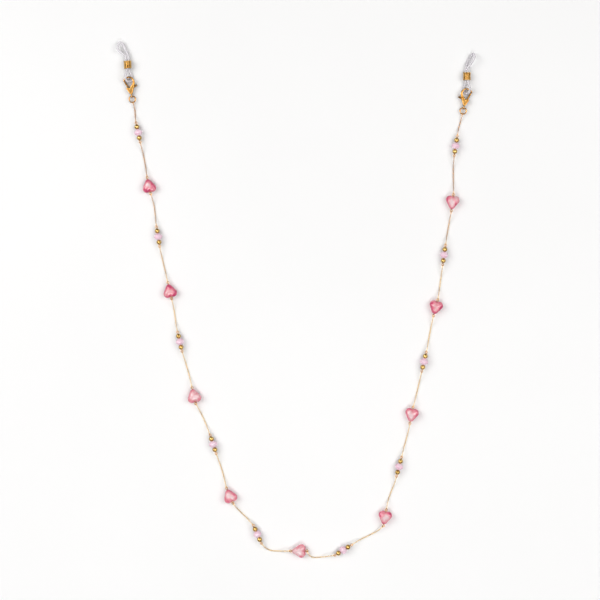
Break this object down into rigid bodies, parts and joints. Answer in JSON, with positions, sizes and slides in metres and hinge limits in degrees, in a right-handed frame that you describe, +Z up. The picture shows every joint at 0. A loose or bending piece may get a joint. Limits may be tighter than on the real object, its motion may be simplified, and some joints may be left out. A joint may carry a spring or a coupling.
{
  "type": "eyeglasses chain strap",
  "caption": "Eyeglasses chain strap: fine metal chain with glass hearts and bead clusters, lobster clasps and silicone temple loops with sliding coil ferrules.",
  "frame": {"origin": "middle of the strap's outline on the surface that it lies on", "axes": "+Z up from the surface, +Y from the middle heart towards the two open ends, +X from the left end to the right end"},
  "size_m": [0.2152, 0.3103, 0.005],
  "materials": {
    "rose_glass": "polished translucent rose glass",
    "pink_glass": "milky faceted pale pink glass",
    "gold": "polished gold plate",
    "gold_wire": "bright gold-plated wire",
    "gold_chain": "fine rose-gold plated cable chain",
    "spring_steel": "plain spring steel",
    "silicone": "clear silicone"
  },
  "bodies": {
    "pin_1": {"heart_pin_1": "gold_wire"},
    "pin_2": {"heart_pin_2": "gold_wire"},
    "pin_3": {"heart_pin_3": "gold_wire"},
    "pin_4": {"heart_pin_4": "gold_wire"},
    "pin_5": {"heart_pin_5": "gold_wire"},
    "pin_6": {"heart_pin_6": "gold_wire"},
    "pin_7": {"heart_pin_7": "gold_wire"},
    "pin_8": {"heart_pin_8": "gold_wire"},
    "pin_9": {"heart_pin_9": "gold_wire"},
    "heart_1": {"heart_bead_1": "rose_glass"},
    "heart_2": {"heart_bead_2": "rose_glass"},
    "heart_3": {"heart_bead_3": "rose_glass"},
    "heart_4": {"heart_bead_4": "rose_glass"},
    "heart_5": {"heart_bead_5": "rose_glass"},
    "heart_6": {"heart_bead_6": "rose_glass"},
    "heart_7": {"heart_bead_7": "rose_glass"},
    "heart_8": {"heart_bead_8": "rose_glass"},
    "heart_9": {"heart_bead_9": "rose_glass"},
    "chain_1": {"chain_1": "gold_chain", "spacer_balls_1": "gold"},
    "chain_2": {"chain_2": "gold_chain", "spacer_balls_2": "gold"},
    "chain_3": {"chain_3": "gold_chain", "spacer_balls_3": "gold"},
    "chain_4": {"chain_4": "gold_chain", "spacer_balls_4": "gold"},
    "chain_5": {"chain_5": "gold_chain", "spacer_balls_5": "gold"},
    "chain_6": {"chain_6": "gold_chain", "spacer_balls_6": "gold"},
    "chain_7": {"chain_7": "gold_chain", "spacer_balls_7": "gold"},
    "chain_8": {"chain_8": "gold_chain", "spacer_balls_8": "gold"},
    "chain_9": {"chain_9": "gold_chain", "spacer_balls_9": "gold"},
    "chain_10": {"chain_10": "gold_chain", "spacer_balls_10": "gold"},
    "rondelle_1": {"rondelle_1": "pink_glass"},
    "rondelle_2": {"rondelle_2": "pink_glass"},
    "rondelle_3": {"rondelle_3": "pink_glass"},
    "rondelle_4": {"rondelle_4": "pink_glass"},
    "rondelle_5": {"rondelle_5": "pink_glass"},
    "rondelle_6": {"rondelle_6": "pink_glass"},
    "rondelle_7": {"rondelle_7": "pink_glass"},
    "rondelle_8": {"rondelle_8": "pink_glass"},
    "rondelle_9": {"rondelle_9": "pink_glass"},
    "rondelle_10": {"rondelle_10": "pink_glass"},
    "ring_left": {"jump_ring_left": "gold_wire"},
    "clasp_left": {"clasp_body_left": "gold", "clasp_spring_left": "spring_steel"},
    "lever_left": {"clasp_lever_left": "gold"},
    "loop_left": {"temple_loop_left": "silicone"},
    "ferrule_left": {"ferrule_left": "gold_wire"},
    "ring_right": {"jump_ring_right": "gold_wire"},
    "clasp_right": {"clasp_body_right": "gold", "clasp_spring_right": "spring_steel"},
    "lever_right": {"clasp_lever_right": "gold"},
    "loop_right": {"temple_loop_right": "silicone"},
    "ferrule_right": {"ferrule_right": "gold_wire"}
  },
  "joints": [
    {"name": "heart_1_spin", "type": "hinge", "parent": "pin_1", "child": "heart_1", "pos_m": [-0.0881, 0.0685, 0.0025], "axis": [0.2079, -0.9781, 0], "continuous": true},
    {"name": "heart_2_spin", "type": "hinge", "parent": "pin_2", "child": "heart_2", "pos_m": [-0.0756, 0.0055, 0.0025], "axis": [0.225, -0.9744, 0], "continuous": true},
    {"name": "heart_3_spin", "type": "hinge", "parent": "pin_3", "child": "heart_3", "pos_m": [-0.0611, -0.0575, 0.0025], "axis": [0.225, -0.9744, 0], "continuous": true},
    {"name": "heart_4_spin", "type": "hinge", "parent": "pin_4", "child": "heart_4", "pos_m": [-0.0396, -0.1175, 0.0025], "axis": [0.3907, -0.9205, 0], "continuous": true},
    {"name": "heart_5_spin", "type": "hinge", "parent": "pin_5", "child": "heart_5", "pos_m": [0.0019, -0.1505, 0.0025], "axis": [1, 0, 0], "continuous": true},
    {"name": "heart_6_spin", "type": "hinge", "parent": "pin_6", "child": "heart_6", "pos_m": [0.0534, -0.1305, 0.0025], "axis": [0.1736, 0.9848, 0], "continuous": true},
    {"name": "heart_7_spin", "type": "hinge", "parent": "pin_7", "child": "heart_7", "pos_m": [0.0694, -0.069, 0.0025], "axis": [0.1908, 0.9816, 0], "continuous": true},
    {"name": "heart_8_spin", "type": "hinge", "parent": "pin_8", "child": "heart_8", "pos_m": [0.0839, -0.0045, 0.0025], "axis": [0.2588, 0.9659, 0], "continuous": true},
    {"name": "heart_9_spin", "type": "hinge", "parent": "pin_9", "child": "heart_9", "pos_m": [0.0939, 0.0585, 0.0025], "axis": [0.1219, 0.9925, 0], "continuous": true},
    {"name": "rondelle_1_spin", "type": "hinge", "parent": "chain_1", "child": "rondelle_1", "pos_m": [-0.0946, 0.1005, 0.0025], "axis": [0.2079, -0.9781, 0], "continuous": true},
    {"name": "rondelle_2_spin", "type": "hinge", "parent": "chain_2", "child": "rondelle_2", "pos_m": [-0.0826, 0.038, 0.0025], "axis": [0.1564, -0.9877, 0], "continuous": true},
    {"name": "rondelle_3_spin", "type": "hinge", "parent": "chain_3", "child": "rondelle_3", "pos_m": [-0.0696, -0.025, 0.0025], "axis": [0.225, -0.9744, 0], "continuous": true},
    {"name": "rondelle_4_spin", "type": "hinge", "parent": "chain_4", "child": "rondelle_4", "pos_m": [-0.0496, -0.0865, 0.0025], "axis": [0.309, -0.9511, 0], "continuous": true},
    {"name": "rondelle_5_spin", "type": "hinge", "parent": "chain_5", "child": "rondelle_5", "pos_m": [-0.0231, -0.1405, 0.0025], "axis": [0.4067, -0.9135, 0], "continuous": true},
    {"name": "rondelle_6_spin", "type": "hinge", "parent": "chain_6", "child": "rondelle_6", "pos_m": [0.0284, -0.15, 0.0025], "axis": [0.848, 0.5299, 0], "continuous": true},
    {"name": "rondelle_7_spin", "type": "hinge", "parent": "chain_7", "child": "rondelle_7", "pos_m": [0.0619, -0.1, 0.0025], "axis": [0.2588, 0.9659, 0], "continuous": true},
    {"name": "rondelle_8_spin", "type": "hinge", "parent": "chain_8", "child": "rondelle_8", "pos_m": [0.0769, -0.037, 0.0025], "axis": [0.225, 0.9744, 0], "continuous": true},
    {"name": "rondelle_9_spin", "type": "hinge", "parent": "chain_9", "child": "rondelle_9", "pos_m": [0.0889, 0.027, 0.0025], "axis": [0.1392, 0.9903, 0], "continuous": true},
    {"name": "rondelle_10_spin", "type": "hinge", "parent": "chain_10", "child": "rondelle_10", "pos_m": [0.0959, 0.0925, 0.0025], "axis": [0.1564, 0.9877, 0], "continuous": true},
    {"name": "strap_1_inner_bend", "type": "hinge", "parent": "pin_1", "child": "chain_1", "pos_m": [-0.08915, 0.07342, 0.0025], "axis": [0, 0, 1], "range_deg": [-75, 75]},
    {"name": "strap_2_inner_bend", "type": "hinge", "parent": "pin_2", "child": "chain_2", "pos_m": [-0.07673, 0.0104, 0.0025], "axis": [0, 0, 1], "range_deg": [-60, 60]},
    {"name": "strap_2_outer_bend", "type": "hinge", "parent": "chain_2", "child": "pin_1", "pos_m": [-0.08711, 0.06385, 0.0025], "axis": [0, 0, -1], "range_deg": [-60, 60]},
    {"name": "strap_3_inner_bend", "type": "hinge", "parent": "pin_3", "child": "chain_3", "pos_m": [-0.06223, -0.0526, 0.0025], "axis": [0, 0, 1], "range_deg": [-40, 40]},
    {"name": "strap_3_outer_bend", "type": "hinge", "parent": "chain_3", "child": "pin_2", "pos_m": [-0.07453, 0.00087, 0.0025], "axis": [0, 0, -1], "range_deg": [-40, 40]},
    {"name": "strap_4_inner_bend", "type": "hinge", "parent": "pin_4", "child": "chain_4", "pos_m": [-0.04157, -0.11287, 0.0025], "axis": [0, 0, 1], "range_deg": [-35, 35]},
    {"name": "strap_4_outer_bend", "type": "hinge", "parent": "chain_4", "child": "pin_3", "pos_m": [-0.06003, -0.06213, 0.0025], "axis": [0, 0, -1], "range_deg": [-35, 35]},
    {"name": "strap_5_inner_bend", "type": "hinge", "parent": "pin_5", "child": "chain_5", "pos_m": [-0.00313, -0.1505, 0.0025], "axis": [0, 0, 1], "range_deg": [-30, 30]},
    {"name": "strap_5_outer_bend", "type": "hinge", "parent": "chain_5", "child": "pin_4", "pos_m": [-0.03774, -0.12187, 0.0025], "axis": [0, 0, -1], "range_deg": [-30, 30]},
    {"name": "strap_6_inner_bend", "type": "hinge", "parent": "pin_5", "child": "chain_6", "pos_m": [0.00665, -0.1505, 0.0025], "axis": [0, 0, 1], "range_deg": [-30, 30]},
    {"name": "strap_6_outer_bend", "type": "hinge", "parent": "chain_6", "child": "pin_6", "pos_m": [0.05253, -0.13545, 0.0025], "axis": [0, 0, -1], "range_deg": [-30, 30]},
    {"name": "strap_7_inner_bend", "type": "hinge", "parent": "pin_6", "child": "chain_7", "pos_m": [0.05422, -0.12582, 0.0025], "axis": [0, 0, 1], "range_deg": [-35, 35]},
    {"name": "strap_7_outer_bend", "type": "hinge", "parent": "chain_7", "child": "pin_7", "pos_m": [0.06844, -0.07394, 0.0025], "axis": [0, 0, -1], "range_deg": [-35, 35]},
    {"name": "strap_8_inner_bend", "type": "hinge", "parent": "pin_7", "child": "chain_8", "pos_m": [0.07031, -0.06434, 0.0025], "axis": [0, 0, 1], "range_deg": [-40, 40]},
    {"name": "strap_8_outer_bend", "type": "hinge", "parent": "chain_8", "child": "pin_8", "pos_m": [0.0826, -0.00936, 0.0025], "axis": [0, 0, -1], "range_deg": [-40, 40]},
    {"name": "strap_9_inner_bend", "type": "hinge", "parent": "pin_8", "child": "chain_9", "pos_m": [0.08513, 0.00009, 0.0025], "axis": [0, 0, 1], "range_deg": [-60, 60]},
    {"name": "strap_9_outer_bend", "type": "hinge", "parent": "chain_9", "child": "pin_9", "pos_m": [0.09329, 0.05351, 0.0025], "axis": [0, 0, -1], "range_deg": [-60, 60]},
    {"name": "strap_10_inner_bend", "type": "hinge", "parent": "pin_9", "child": "chain_10", "pos_m": [0.09448, 0.06321, 0.0025], "axis": [0, 0, 1], "range_deg": [-75, 75]},
    {"name": "ring_left_swing", "type": "hinge", "parent": "chain_1", "child": "ring_left", "pos_m": [-0.09816, 0.1205, 0.00155], "axis": [0, 0, 1], "range_deg": [-45, 45]},
    {"name": "clasp_left_swing", "type": "hinge", "parent": "ring_left", "child": "clasp_left", "pos_m": [-0.09816, 0.1205, 0.00155], "axis": [0, 0, -1], "range_deg": [-45, 45]},
    {"name": "clasp_left_lever", "type": "hinge", "parent": "clasp_left", "child": "lever_left", "pos_m": [-0.10009, 0.12653, 0.0013], "axis": [0, 0, -1], "range_deg": [0, 12], "stiffness_Nm_per_rad": 0.004, "springref_deg": -20.05},
    {"name": "loop_left_swing", "type": "hinge", "parent": "clasp_left", "child": "loop_left", "pos_m": [-0.1001, 0.1305, 0.00255], "axis": [0, 0, 1], "range_deg": [-20, 20]},
    {"name": "ferrule_left_slide", "type": "slide", "parent": "loop_left", "child": "ferrule_left", "axis": [-0.0698, 0.9976, 0], "range_m": [0, 0.0015]},
    {"name": "ring_right_swing", "type": "hinge", "parent": "chain_10", "child": "ring_right", "pos_m": [0.10046, 0.1135, 0.00155], "axis": [0, 0, 1], "range_deg": [-45, 45]},
    {"name": "clasp_right_swing", "type": "hinge", "parent": "ring_right", "child": "clasp_right", "pos_m": [0.10046, 0.1135, 0.00155], "axis": [0, 0, -1], "range_deg": [-45, 45]},
    {"name": "clasp_right_lever", "type": "hinge", "parent": "clasp_right", "child": "lever_right", "pos_m": [0.10239, 0.11953, 0.0013], "axis": [0, 0, 1], "range_deg": [0, 12], "stiffness_Nm_per_rad": 0.004, "springref_deg": -20.05},
    {"name": "loop_right_swing", "type": "hinge", "parent": "clasp_right", "child": "loop_right", "pos_m": [0.1024, 0.1235, 0.00255], "axis": [0, 0, 1], "range_deg": [-20, 20]},
    {"name": "ferrule_right_slide", "type": "slide", "parent": "loop_right", "child": "ferrule_right", "axis": [0.0175, 0.9998, 0], "range_m": [0, 0.0015]}
  ]
}
